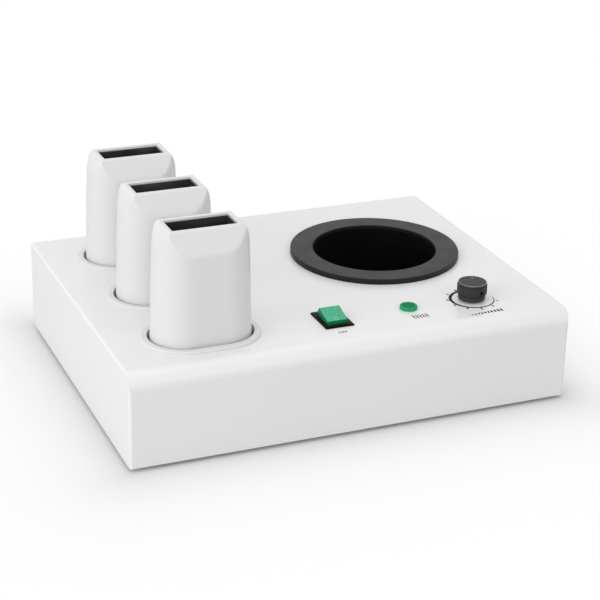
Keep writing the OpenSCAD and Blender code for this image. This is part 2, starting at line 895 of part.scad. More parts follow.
module knob_body() {
  color("darkslategray") translate([dial_x, -control_y, knob_z]) difference() {
    rotate_extrude() knob_profile();
    translate([0, 0, -eps]) cylinder(r = knob_cavity_r, h = knob_cavity_h + eps);
    difference() {
      translate([0, 0, -eps]) cylinder(r = shaft_r, h = shaft_top - knob_z + eps);
      rotate(set_a) translate([shaft_r - shaft_flat, -shaft_r, knob_cavity_h])
        cube([shaft_r, 2 * shaft_r, knob_h]);
    }
    rotate(set_a) translate([shaft_r - shaft_flat, 0, set_z - knob_z]) rotate([0, 90, 0]) {
      cylinder(r = set_r, h = knob_r);
      translate([0, 0, set_hole_x]) cylinder(r = set_hole_r, h = knob_r);
    }
    for (i = [0 : flute_count - 1]) rotate(i * 360 / flute_count)
      translate([knob_r + flute_out, 0, collar_z + collar_edge + flute_in])
        cylinder(r = flute_r, h = collar_top - collar_z - 2 * (collar_edge + flute_in), $fn = 16);
    rotate(pointer_a) translate([pointer_r, 0, knob_h - pointer_sink])
      block(pointer_l, pointer_w, pointer_sink + eps);
  }
}

module knob_rim() {
  color("silver") translate([dial_x, -control_y, knob_top - rim_h]) rotate_extrude()
    polygon([
      [knob_cap_r - rim_t, 0], [knob_cap_r, 0], [knob_cap_r, rim_h - rim_bevel],
      [knob_cap_r - rim_bevel, rim_h], [knob_cap_r - rim_t, rim_h]
    ]);
}

module knob_pointer() {
  color("white") translate([dial_x, -control_y, knob_top - pointer_sink]) rotate(pointer_a)
    translate([pointer_r, 0, 0]) block(pointer_l, pointer_w, pointer_sink);
}

module knob_set_screw() {
  color("black") translate([dial_x, -control_y, set_z]) rotate(set_a)
    translate([shaft_r - shaft_flat, 0, 0]) rotate([0, 90, 0]) difference() {
      cylinder(r = set_r, h = set_l);
      translate([0, 0, set_l - set_hex_h]) cylinder(r = set_hex_r, h = set_hex_h + eps, $fn = 6);
    }
}

// ---------- rocker switch ----------

module switch_housing() {
  color("black") translate([-switch_x, -control_y, 0]) difference() {
    union() {
      translate([0, 0, panel_z - switch_depth]) block(switch_w, switch_l, switch_depth);
      translate([0, 0, panel_z]) block(bezel_w, bezel_l, bezel_h - bezel_step);
      translate([0, 0, panel_z]) block(bezel_w - 2 * bezel_step, bezel_l - 2 * bezel_step, bezel_h);
      translate([0, 0, under_z - latch_h]) block(latch_w, switch_l + 2 * latch_t, latch_h);
    }
    translate([0, 0, pivot_z - switch_well_h]) block(switch_well_w, switch_well_l, switch_depth);
    translate([0, 0, pivot_z]) rotate([0, 90, 0])
      cylinder(r = trunnion_r + run_fit, h = rocker_w + 2 * (trunnion_l + run_fit), center = true);
  }
}

// Side view of the rocker in its middle position, about its pivot
module rocker_outline() {
  half = rocker_l / 2;
  body = rocker_body_l / 2;
  polygon([
    [-half, rocker_h], [0, rocker_h - rocker_dish], [half, rocker_h], [body, rocker_shoulder],
    [body - 1, -rocker_side], [body - rocker_low_in, -rocker_low],
    [rocker_low_in - body, -rocker_low], [1 - body, -rocker_side], [-body, rocker_shoulder]
  ]);
}

module switch_rocker() {
  color("mediumseagreen") translate([-switch_x, -control_y, pivot_z]) rotate([rocker_tilt, 0, 0])
    difference() {
      union() {
        across(rocker_w) rocker_outline();
        rotate([0, 90, 0]) cylinder(r = trunnion_r, h = rocker_w + 2 * trunnion_l, center = true);
      }
      translate([0, 0, -rocker_low - eps])
        block(rocker_w - 2 * rocker_wall, rocker_body_l - 2 * rocker_skid, rocker_low + eps - rocker_hollow);
    }
}

module switch_terminals() {
  color("gold") translate([-switch_x, -control_y, panel_z - switch_depth - blade_h])
    mirrored_y() mirrored_x() translate([switch_w / 4, blade_gap / 2, 0]) block(blade_w, blade_t, blade_h);
}

// ---------- lamp ----------

module lamp_body() {
  color("white") translate([lamp_x, -control_y, panel_z - lamp_h]) difference() {
    cylinder(r = lamp_r, h = lamp_h);
    translate([0, 0, lamp_floor]) cylinder(r = lamp_r - lamp_wall, h = lamp_h);
  }
}

module lamp_lens() {
  rim_in = lens_r - lens_rim_t;
  color("green") translate([lamp_x, -control_y, panel_z]) {
    rotate_extrude() polygon([
      [0, 0], [lens_r, 0], [lens_r, lens_h - lens_bevel], [lens_r - lens_bevel, lens_h],
      [rim_in, lens_h], [rim_in - lens_dish, lens_h - lens_dish], [0, lens_h - lens_dish]
    ]);
    translate([0, 0, -lens_plug]) cylinder(r = lamp_r - lamp_wall, h = lens_plug);
  }
}

module lamp_nut() {
  color("white") translate([lamp_x, -control_y, under_z - lamp_nut_h]) difference() {
    cylinder(r = lamp_nut_r, h = lamp_nut_h, $fn = 6);
    translate([0, 0, -eps]) cylinder(r = lamp_r, h = lamp_nut_h + 2 * eps);
  }
}

// ---------- docks ----------

module dock(i) {
  color("white") translate([-dock_x, dock_ys[i], 0]) difference() {
    union() {
      translate([0, 0, panel_z]) linear_extrude(dock_rim_h - rim_edge) stadium(body_c, rim_r);
      translate([0, 0, panel_z + dock_rim_h - rim_edge])
        stadium_column(body_c, rim_r, rim_r - rim_edge, rim_edge);
      translate([0, 0, pocket_z - pocket_floor]) linear_extrude(dock_depth + pocket_floor + eps)
        stadium(body_c, pocket_out_r);
    }
    translate([0, 0, pocket_z]) linear_extrude(dock_depth + dock_rim_h + eps) stadium(body_c, pocket_r);
    for (x = [-pin_pitch, 0, pin_pitch]) translate([x, 0, pocket_z - pocket_floor - eps])
      cylinder(r = pin_r, h = pocket_floor + 2 * eps);
  }
}

module dock_pins(i) {
  color("gold") translate([-dock_x, dock_ys[i], pocket_z]) for (x = [-pin_pitch, 0, pin_pitch])
    translate([x, 0, 0]) {
      translate([0, 0, -pocket_floor]) cylinder(r = pin_r, h = pocket_floor + pin_up - pin_tip);
      translate([0, 0, pin_up - pin_tip]) cylinder(r1 = pin_r, r2 = pin_tip_r, h = pin_tip);
      translate([0, 0, -pocket_floor - pin_collar_h]) cylinder(r = pin_collar_r, h = pin_collar_h);
      translate([0, 0, -pocket_floor - pin_collar_h - pin_tail]) cylinder(r = pin_tail_r, h = pin_tail);
    }
}

module dock_retainers() {
  color("silver") for (y = dock_ys) translate([-dock_x, y, under_z - retainer_t])
    linear_extrude(retainer_t) difference() {
      stadium(body_c, pocket_out_r + retainer_w);
      stadium(body_c, pocket_out_r);
    }
}

// ---------- roll-on heaters ----------

// The body's outside, taken in by t on every side
module body_form(t) {
  knee_y = foot_half_t - body_draft;
  slope = (knee_y - crown_half_t) / face_drop;
  lean = t * sqrt(1 + slope * slope);
  reach = 8;
  half_top = crown_half_t - lean + slope * t;
  end_x = body_c + top_r + body_draft * end_drop / body_full;
  end_in = end_x - crown_half_l;
  end_r = (end_drop * end_drop + end_in * end_in) / (2 * end_in);
  intersection() {
    translate([0, 0, body_z]) stadium_column(body_c, foot_half_t - t, top_r - t, body_full);
    across(body_l + 2) polygon([
      [-foot_half_t - reach, body_z - eps], [foot_half_t + reach, body_z - eps],
      [foot_half_t + reach, body_top - t - (foot_half_t + reach - half_top) / slope],
      [half_top, body_top - t], [-half_top, body_top - t],
      [-foot_half_t - reach, body_top - t - (foot_half_t + reach - half_top) / slope]
    ]);
    along(body_t + 2) {
      translate([-body_l, body_z - eps]) square([2 * body_l, body_full - end_drop + eps]);
      intersection() {
        translate([end_x - end_r, body_top - end_drop]) circle(end_r - t);
        translate([end_r - end_x, body_top - end_drop]) circle(end_r - t);
        translate([-body_l, body_top - end_drop]) square([2 * body_l, end_drop]);
      }
    }
  }
}

module rollon_shell(i) {
  color("whitesmoke") translate([-dock_x, dock_ys[i], 0]) difference() {
    body_form(0);
    difference() {
      body_form(shell_t);
      translate([0, 0, crown_low]) block(body_l, body_t, 2 * shell_t);
    }
    translate([0, 0, crown_low - eps])
      block(slot_l + 2 * slot_edge, slot_t + 2 * slot_edge, shell_t + 2 * eps);
  }
}

module rollon_chamber(i) {
  color("dimgray") translate([-dock_x, dock_ys[i], 0]) difference() {
    translate([0, 0, chamber_floor - chamber_t])
      block(slot_l + 2 * chamber_t, slot_t + 2 * chamber_t, chamber_top - chamber_floor + chamber_t);
    translate([0, 0, chamber_floor]) block(slot_l, slot_t, chamber_depth);
  }
}

module rollon_heater(i) {
  face = slot_t / 2 + chamber_t;
  color("orange") translate([-dock_x, dock_ys[i], 0]) {
    mirrored_y() translate([0, face + pad_t / 2, pad_z]) block(pad_l, pad_t, pad_h);
    mirrored_x() translate([pin_pitch, 0, 0]) wire([
      [0, 0, body_z + socket_h], [0, 0, body_z + socket_h + 3],
      [0, face + pad_t / 2, body_z + socket_h + 8], [0, face + pad_t / 2, pad_z]
    ], heater_lead_r);
  }
}

module rollon_base(i) {
  color("gainsboro") translate([-dock_x, dock_ys[i], 0]) difference() {
    union() {
      translate([0, 0, body_z]) linear_extrude(base_h) stadium(body_c, base_r);
      for (x = [-pin_pitch, 0, pin_pitch]) translate([x, 0, body_z + base_h])
        cylinder(r = socket_out_r + socket_boss, h = socket_boss_h);
    }
    for (x = [-pin_pitch, 0, pin_pitch]) translate([x, 0, body_z - eps])
      cylinder(r = socket_out_r, h = base_h + socket_boss_h + 2 * eps);
  }
}

module rollon_sockets(i) {
  color("gold") translate([-dock_x, dock_ys[i], body_z]) for (x = [-pin_pitch, 0, pin_pitch])
    translate([x, 0, 0]) difference() {
      cylinder(r = socket_out_r, h = socket_h);
      translate([0, 0, -eps]) cylinder(r = socket_r, h = pin_up + socket_spare + eps);
    }
}

// ---------- power inlet and wiring ----------

// Draws its children facing the rear, with z = 0 at the outside of the rear wall
module at_inlet() {
  translate([inlet_x, tray_rear, inlet_z]) rotate([90, 0, 180]) children();
}

module inlet_opening() {
  w = inlet_well_w / 2;
  h = inlet_well_h / 2;
  polygon([
    [-w, -h], [w, -h], [w, h - inlet_corner], [w - inlet_corner, h],
    [inlet_corner - w, h], [-w, h - inlet_corner]
  ]);
}

module power_inlet() {
  color("black") at_inlet() difference() {
    union() {
      block(inlet_flange_w, inlet_flange_h, tray_inset);
      translate([0, 0, -inlet_body_d]) block(inlet_body_w, inlet_body_h, inlet_body_d);
    }
    translate([0, 0, tray_inset - inlet_well_d]) linear_extrude(inlet_well_d + eps) inlet_opening();
    mirrored_x() translate([inlet_screw_x, 0, -eps]) cylinder(r = inlet_hole_r, h = tray_inset + 2 * eps);
    for (p = blade_places) translate([p[0], p[1], -inlet_body_d - eps])
      block(pin_blade_t, pin_blade_w, inlet_body_d);
  }
}

module inlet_pins() {
  color("silver") at_inlet() for (p = blade_places) translate([p[0], p[1], -inlet_body_d - tab_l])
    block(pin_blade_t, pin_blade_w, inlet_body_d + tab_l - pin_blade_sunk);
}

module inlet_screws() {
  color("silver") at_inlet() mirrored_x() translate([inlet_screw_x, 0, 0]) {
    translate([0, 0, -inlet_screw_in]) cylinder(r = inlet_screw_r, h = inlet_screw_in);
    cylinder(r1 = inlet_screw_r, r2 = inlet_hole_r, h = tray_inset);
    translate([0, 0, -sheet - inlet_nut_h]) cylinder(r = inlet_nut_r, h = inlet_nut_h, $fn = 6);
  }
}

module terminal_block() {
  way = block_l / block_ways;
  color("white") translate([block_x, block_y, floor_z]) difference() {
    block(block_l, block_w, block_h);
    for (i = [0 : block_ways - 1])
      translate([(i - (block_ways - 1) / 2) * way, 0, block_h - block_screw_h])
        cylinder(r = block_screw_r, h = block_screw_h + eps);
    for (i = [0 : block_ways]) translate([(i - block_ways / 2) * way, 0, block_h - block_slit_h])
      block(block_slit, block_w + 2 * eps, block_slit_h + eps);
  }
}

module earth_stud() {
  color("silver") translate([stud_x, stud_y, floor_z]) {
    cylinder(r = stud_r, h = stud_h);
    cylinder(r = stud_nut_r, h = stud_nut_h, $fn = 6);
  }
}

module wiring_loom() {
  near = block_y - block_w / 2;
  far = block_y + block_w / 2;
  left = block_x - block_l / 2;
  box_y = well_y - band_box_y;
  box_z = (band_lo + band_hi) / 2;
  switch_low = panel_z - switch_depth;
  tail_z = pocket_z - pocket_floor - pin_collar_h - pin_tail;
  inlet_y = tray_rear - inlet_body_d;
  low_z = floor_z + 5.5;
  side = 6.5;
  front = -control_y - 11.5;
  stat_x = dial_x - 12;
  color("gray") {
    wire([
      [inlet_x, inlet_y, inlet_z - 6], [inlet_x, inlet_y - 14, inlet_z - 6],
      [inlet_x, inlet_y - 30, port_z], [inlet_x, far, port_z]
    ], wire_r);
    wire([
      [inlet_x, near, port_z], [inlet_x, near - 22, port_z], [-switch_x, near - 52, low_z],
      [-switch_x, 13.5 - control_y, low_z], [-switch_x, -control_y, switch_low - 37],
      [-switch_x, -control_y, switch_low]
    ], wire_r);
    wire([
      [side - switch_x, -control_y, switch_low], [side - switch_x, -control_y, switch_low - 17],
      [lamp_x, -control_y, switch_low - 17], [lamp_x, -control_y, panel_z - lamp_h]
    ], lead_wire_r);
    wire([
      [-side - switch_x, -control_y, switch_low], [-side - switch_x, -control_y, switch_low - 27],
      [-side - switch_x, front, switch_low - 33], [stat_x, front, switch_low - 33],
      [stat_x, -control_y, switch_low - 23], [stat_x, -control_y, stat_low]
    ], lead_wire_r);
    wire([
      [dial_x, -control_y - 6, stat_low], [dial_x, -control_y - 6, stat_low - 14],
      [well_x, box_y - 13, box_z], [well_x, box_y, box_z]
    ], lead_wire_r);
    wire([[left, block_y, port_z], [trunk_x, block_y, port_z], [trunk_x, block_y, trunk_z]], feed_wire_r);
    bar([trunk_x, dock_ys[0], trunk_z], [trunk_x, dock_ys[2], trunk_z], wire_r);
    for (y = dock_ys) {
      bar([trunk_x, y, trunk_z], [-dock_x - pin_pitch, y, trunk_z], lead_wire_r);
      for (x = [-pin_pitch, 0, pin_pitch])
        bar([x - dock_x, y, trunk_z], [x - dock_x, y, tail_z], pin_wire_r);
      for (x = [trunk_x, -dock_x - pin_pitch]) translate([x, y, trunk_z])
        sphere(wire_r + bend_sleeve, $fn = 32);
    }
    wire([
      [stud_x, far, port_z], [stud_x, stud_y, port_z], [stud_x, stud_y, floor_z + stud_h]
    ], pin_wire_r);
  }
}

cover();
base_tray();
cover_brackets();
case_screws();
feet();
well_ring();
ring_screws();
heating_well();
band_heater();
band_clamp_screw();
well_insulation();
well_spacer();
well_screw();
thermostat_body();
thermostat_terminals();
thermostat_shaft();
thermostat_nut();
thermostat_bulb();
sensor_clips();
thermal_fuse();
knob_body();
knob_rim();
knob_pointer();
knob_set_screw();
switch_housing();
switch_rocker();
switch_terminals();
lamp_body();
lamp_lens();
lamp_nut();
for (i = [0 : 2]) {
  dock(i);
  dock_pins(i);
  rollon_shell(i);
  rollon_chamber(i);
  rollon_heater(i);
  rollon_base(i);
  rollon_sockets(i);
}
dock_retainers();
power_inlet();
inlet_pins();
inlet_screws();
terminal_block();
earth_stud();
wiring_loom();
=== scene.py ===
import json
import math

import bmesh
import bpy
import numpy as np
from mathutils import Matrix, Vector


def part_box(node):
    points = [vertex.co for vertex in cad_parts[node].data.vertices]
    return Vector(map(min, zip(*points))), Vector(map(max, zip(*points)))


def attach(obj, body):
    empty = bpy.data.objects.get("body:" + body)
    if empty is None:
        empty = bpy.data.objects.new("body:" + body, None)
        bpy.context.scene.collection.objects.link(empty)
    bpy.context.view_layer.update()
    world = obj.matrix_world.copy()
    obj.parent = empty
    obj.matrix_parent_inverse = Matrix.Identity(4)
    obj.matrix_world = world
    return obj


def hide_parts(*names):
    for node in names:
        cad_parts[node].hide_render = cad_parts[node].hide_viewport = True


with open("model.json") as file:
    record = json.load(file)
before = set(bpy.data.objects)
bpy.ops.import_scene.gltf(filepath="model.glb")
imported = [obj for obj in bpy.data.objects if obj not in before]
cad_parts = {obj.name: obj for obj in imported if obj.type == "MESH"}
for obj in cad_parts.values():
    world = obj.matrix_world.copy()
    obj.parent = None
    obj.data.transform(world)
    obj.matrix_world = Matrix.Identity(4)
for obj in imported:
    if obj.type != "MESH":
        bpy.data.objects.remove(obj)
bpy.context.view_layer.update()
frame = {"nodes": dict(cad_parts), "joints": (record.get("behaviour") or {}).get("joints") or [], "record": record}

MM = 0.001


# ---------- places read from the frame ----------

def centre(node):
    low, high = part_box(node)
    return (low + high) / 2


PANEL_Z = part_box("cover")[1].z
DIAL = centre("knob_rim")
SWITCH = centre("switch_housing")
LAMP = centre("lamp_lens")
ROLL_ONS = (1, 2, 3)


# ---------- camera: solved from the box's corners and the ring in the photograph ----------

CAMERA_PLACE = Vector((-500.24, -1205.08, 617.39)) * MM
CAMERA_AZIMUTH = math.radians(22.901)
CAMERA_DOWN = math.radians(23.314)
CAMERA_ROLL = math.radians(1.319)
CAMERA_LENS = 104.42
CAMERA_SENSOR = 36.0
CAMERA_SEES = (0.05, 50)


def make_camera():
    data = bpy.data.cameras.new("camera")
    data.lens = CAMERA_LENS
    data.sensor_width = CAMERA_SENSOR
    data.clip_start, data.clip_end = CAMERA_SEES
    ahead = Vector((math.sin(CAMERA_AZIMUTH) * math.cos(CAMERA_DOWN),
                    math.cos(CAMERA_AZIMUTH) * math.cos(CAMERA_DOWN), -math.sin(CAMERA_DOWN)))
    level = Vector((math.cos(CAMERA_AZIMUTH), -math.sin(CAMERA_AZIMUTH), 0))
    upright = level.cross(ahead)
    across = level * math.cos(CAMERA_ROLL) + upright * math.sin(CAMERA_ROLL)
    up = upright * math.cos(CAMERA_ROLL) - level * math.sin(CAMERA_ROLL)
    turned = Matrix((across, up, -ahead)).transposed().to_4x4()
    camera = bpy.data.objects.new("camera", data)
    camera.matrix_world = Matrix.Translation(CAMERA_PLACE) @ turned
    bpy.context.scene.collection.objects.link(camera)
    bpy.context.scene.camera = camera


# ---------- materials ----------

class Nodes:
    """A small helper that builds one procedural material on a Principled shader."""

    def __init__(self, name):
        self.material = bpy.data.materials.new(name)
        self.material.use_nodes = True
        self.tree = self.material.node_tree
        self.tree.nodes.clear()
        self.out = self.tree.nodes.new("ShaderNodeOutputMaterial")
        self.shader = self.add("ShaderNodeBsdfPrincipled")
        self.link(self.shader.outputs[0], self.out.inputs["Surface"])
        self.coords = self.add("ShaderNodeTexCoord").outputs["Object"]

    def add(self, kind, **values):
        node = self.tree.nodes.new(kind)
        for name, value in values.items():
            setattr(node, name, value)
        return node

    def link(self, a, b):
        self.tree.links.new(a, b)

    def set(self, **values):
        for name, value in values.items():
            socket = self.shader.inputs[name.replace("_", " ")]
            socket.default_value = (*value, 1) if isinstance(value, tuple) else value

    def noise(self, scale, detail, stretch=None):
        """A noise texture: scale is how many features there are in a metre."""
        node = self.add("ShaderNodeTexNoise")
        node.inputs["Scale"].default_value = scale
        node.inputs["Detail"].default_value = detail
        source = self.coords
        if stretch:
            mapping = self.add("ShaderNodeMapping")
            mapping.inputs["Scale"].default_value = stretch
            self.link(source, mapping.inputs["Vector"])
            source = mapping.outputs[0]
        self.link(source, node.inputs["Vector"])
        return node.outputs[0]

    def spread(self, value, low, high, at=(0.3, 0.7)):
        """Takes a value that runs between the two numbers of at to one from low to high."""
        node = self.add("ShaderNodeMapRange")
        for name, number in zip(("From Min", "From Max", "To Min", "To Max"), (*at, low, high)):
            node.inputs[name].default_value = number
        self.link(value, node.inputs["Value"])
        return node.outputs[0]

    def facing(self, axis):
        """How far the surface faces along one axis of the object: 1 where it faces straight along it."""
        node = self.add("ShaderNodeSeparateXYZ")
        self.link(self.add("ShaderNodeTexCoord").outputs["Normal"], node.inputs[0])
        return node.outputs[axis]

    def mix(self, factor, a, b):
        node = self.add("ShaderNodeMix", data_type="RGBA")
        for socket, value in ((node.inputs["A"], a), (node.inputs["B"], b)):
            if isinstance(value, tuple):
                socket.default_value = (*value, 1)
            else:
                self.link(value, socket)
        self.link(factor, node.inputs["Factor"])
        return node.outputs["Result"]

    def colour(self, value):
        self.link(value, self.shader.inputs["Base Color"])

    def rough(self, value):
        self.link(value, self.shader.inputs["Roughness"])

    def bump(self, height, strength, depth):
        """Relief from a height, as deep as depth says in millimetres."""
        node = self.add("ShaderNodeBump")
        node.inputs["Strength"].default_value = strength
        node.inputs["Distance"].default_value = depth * MM
        self.link(height, node.inputs["Height"])
        self.link(node.outputs[0], self.shader.inputs["Normal"])


def tone(colour, factor):
    return tuple(c * factor for c in colour)


def grey(level):
    return (level, level, level)


def moulded(name, colour, gloss, grain, depth, vary, shine=0.5):
    """Moulded plastic: a faint drift of colour, fine grain and uneven gloss."""
    m = Nodes(name)
    drift = m.noise(scale=9.0, detail=2.0)
    m.colour(m.mix(m.spread(drift, 0, 1), tone(colour, 1 - vary), colour))
    m.rough(m.spread(m.noise(scale=60.0, detail=4.0), *gloss))
    m.bump(m.noise(scale=grain, detail=3.0), strength=0.35, depth=depth)
    m.set(Specular_IOR_Level=shine)
    return m.material


def enamel(name, colour, gloss):
    """Sprayed enamel on sheet: very even, with a shallow wide ripple in its gloss."""
    m = Nodes(name)
    m.colour(m.mix(m.spread(m.noise(scale=7.0, detail=1.0), 0, 1), tone(colour, 0.985), colour))
    m.rough(m.spread(m.noise(scale=14.0, detail=1.0), *gloss))
    m.bump(m.noise(scale=170.0, detail=1.0), strength=0.05, depth=0.01)
    m.set(Specular_IOR_Level=0.5)
    return m.material


def metal(name, colour, gloss, stretch=(1, 1, 1)):
    """Bare metal with a fine grain, which a small stretch along an axis draws out along it."""
    m = Nodes(name)
    lines = m.noise(scale=700.0, detail=4.0, stretch=stretch)
    m.colour(m.mix(m.spread(lines, 0, 1), tone(colour, 0.86), colour))
    m.rough(m.spread(m.noise(scale=45.0, detail=3.0), *gloss))
    m.bump(lines, strength=0.3, depth=0.02)
    m.set(Metallic=1.0)
    return m.material


# The share of facing up over which the sides' painted tone blends into the top's painted tone
SIDE_TO_TOP = (0.55, 0.9)
# Millimetres over which the painted rim highlight fades in
RIM_HIGHLIGHT_FADE = 0.3


def painted_light_plastic(name, top, side, shine, rim=None):
    """Plastic with painted light: one tone where it faces up, another on its sides, and a painted highlight past a
    rim.

    A rim is its middle in metres, its radius in millimetres and the colour of its painted highlight.
    """
    m = Nodes(name)
    cloud = m.noise(scale=420.0, detail=4.0)
    pale = m.mix(m.spread(cloud, 0, 1), tone(top, 0.86), top)
    deep = m.mix(m.spread(cloud, 0, 1), tone(side, 0.8), side)
    # Painted light and shade: the tone turns from the sides' to the top's as the surface faces up
    whole = m.mix(m.spread(m.facing("Z"), 0, 1, SIDE_TO_TOP), deep, pale)
    # Past the rim, a painted highlight
    if rim:
        middle, radius, bright = rim
        away = m.add("ShaderNodeVectorMath", operation="DISTANCE")
        m.link(m.coords, away.inputs[0])
        away.inputs[1].default_value = middle
        past = m.spread(away.outputs["Value"], 0, 1, (radius * MM, (radius + RIM_HIGHLIGHT_FADE) * MM))
        whole = m.mix(past, whole, bright)
    m.colour(whole)
    m.rough(m.spread(m.noise(scale=90.0, detail=2.0), 0.2, 0.28))
    m.bump(m.noise(scale=900.0, detail=2.0), strength=0.2, depth=0.01)
    m.set(Specular_IOR_Level=shine)
    return m.material


# With 0.27 as its least roughness the enamel showed outlined patches in the render
ENAMEL_GLOSS = (0.28, 0.30)
# The painted highlight on the lamp lens's rim: its middle, its radius and its colour
LENS_RIM_HIGHLIGHT = (LAMP, 6.1, (0.02, 0.36, 0.17))

# Gloss is the least and the most roughness, grain the features in a metre, depth in millimetres,
# and vary how much darker the drift of colour goes
MATERIALS = {
    "white_enamel": enamel("white_enamel", grey(0.82), ENAMEL_GLOSS),
    "white_plastic": moulded("white_plastic", grey(0.735), (0.36, 0.40), grain=1400.0, depth=0.01, vary=0.01,
                             shine=0.35),
    "zinc_steel": metal("zinc_steel", (0.60, 0.61, 0.62), (0.30, 0.45)),
    "plated_screw": metal("plated_screw", (0.66, 0.66, 0.65), (0.22, 0.34)),
    "black_rubber": moulded("black_rubber", grey(0.018), (0.65, 0.85), grain=1600.0, depth=0.04, vary=0.3),
    "charcoal_plastic": moulded("charcoal_plastic", (0.015, 0.015, 0.016), (0.34, 0.44), grain=2200.0,
                                depth=0.03, vary=0.2, shine=0.17),
    # The knob, the rocker and the lamp's lens take painted light: their tops and sides are given different tones
    "knob_plastic": painted_light_plastic("knob_plastic", (0.013, 0.013, 0.014), (0.050, 0.050, 0.052), shine=0.12),
    "black_coated_aluminium": moulded("black_coating", grey(0.002), (0.5, 0.62), grain=1500.0, depth=0.02,
                                      vary=0.2, shine=0.12),
    "heater_mica": moulded("heater_mica", (0.42, 0.32, 0.20), (0.5, 0.7), grain=300.0, depth=0.03, vary=0.3),
    "ceramic": moulded("ceramic", (0.74, 0.71, 0.64), (0.5, 0.7), grain=900.0, depth=0.03, vary=0.08),
    "wool": moulded("wool", (0.62, 0.56, 0.38), (0.85, 0.98), grain=500.0, depth=0.6, vary=0.25),
    "brown_phenolic": moulded("brown_phenolic", (0.09, 0.04, 0.02), (0.35, 0.5), grain=900.0, depth=0.02,
                              vary=0.3),
    "brass": metal("brass", (0.72, 0.52, 0.22), (0.25, 0.4)),
    "copper": metal("copper", (0.74, 0.38, 0.25), (0.28, 0.42)),
    "bright_ring": metal("bright_ring", grey(0.20), (0.30, 0.42)),
    "white_mark": moulded("white_mark", grey(0.14), (0.4, 0.55), grain=900.0, depth=0.01, vary=0.1),
    "black_plastic": moulded("black_plastic", grey(0.004), (0.34, 0.48), grain=1500.0, depth=0.02, vary=0.2,
                             shine=0.08),
    "green_rocker": painted_light_plastic("green_rocker", (0.075, 0.47, 0.27), (0.002, 0.17, 0.06), shine=0.15),
    # The lens's rim also gets a painted highlight
    "green_lens": painted_light_plastic("green_lens", (0.0005, 0.20, 0.06), (0.004, 0.24, 0.09), shine=0.03, rim=LENS_RIM_HIGHLIGHT),
    "dark_anodised": metal("dark_anodised", (0.18, 0.18, 0.185), (0.35, 0.5), stretch=(1, 1, 0.05)),
    "heater_foil": metal("heater_foil", (0.62, 0.44, 0.16), (0.35, 0.5)),
    "wire_sleeve": moulded("wire_sleeve", (0.08, 0.08, 0.085), (0.5, 0.65), grain=900.0, depth=0.04,
                           vary=0.2),
    "print_ink": moulded("print_ink", grey(0.012), (0.5, 0.6), grain=1200.0, depth=0.01, vary=0.2,
                         shine=0.15),
    "dial_ink": moulded("dial_ink", grey(0.004), (0.5, 0.6), grain=1200.0, depth=0.01, vary=0.2, shine=0.1),
    "pale_ink": moulded("pale_ink", (0.20, 0.62, 0.42), (0.4, 0.5), grain=1200.0, depth=0.01, vary=0.1),
}

# Nodes whose paint isn't the one that their slot names
OWN_PAINT = {"knob_body": "knob_plastic"}


def paint_nodes():
    for row in frame["record"]["subparts"]:
        paint = OWN_PAINT.get(row["node"], row["material_slot"])
        mesh = frame["nodes"][row["node"]].data
        mesh.materials.clear()
        mesh.materials.append(MATERIALS[paint])


paint_nodes()


# ---------- making pieces ----------

SHARP = math.radians(32)


def add_piece(name, mesh, material, body):
    """Puts a finished mesh, in metres and in the frame, into the scene as a piece of a body."""
    mesh.materials.clear()
    mesh.materials.append(MATERIALS[material])
    mesh.shade_smooth()
    mesh.set_sharp_from_angle(angle=SHARP)
    piece = bpy.data.objects.new(name, mesh)
    bpy.context.scene.collection.objects.link(piece)
    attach(piece, body)
    return piece


def ring_stack(rings, name):
    """A closed skin through rings of points in millimetres, the last joined to the first."""
    count = len(rings[0])
    points = np.concatenate(rings) * MM
    faces = []
    for level in range(len(rings)):
        low, high = level * count, (level + 1) % len(rings) * count
        for i in range(count):
            j = (i + 1) % count
            faces.append((low + i, low + j, high + j, high + i))
    mesh = bpy.data.meshes.new(name)
    mesh.from_pydata(points.tolist(), [], faces)
    return mesh


def mesh_from(bm, name):
    """The mesh of bm, with its faces turned outwards."""
    bmesh.ops.recalc_face_normals(bm, faces=bm.faces)
    mesh = bpy.data.meshes.new(name)
    bm.to_mesh(mesh)
    bm.free()
    return mesh


# ---------- roll-on shells: the drafted body with soft creases under its crown ----------

def soft_max(a, b, width):
    """The larger of two fields, blended where they differ by less than the width."""
    return np.maximum(a, b) + np.maximum(width - np.abs(a - b), 0) ** 2 / (4 * width)


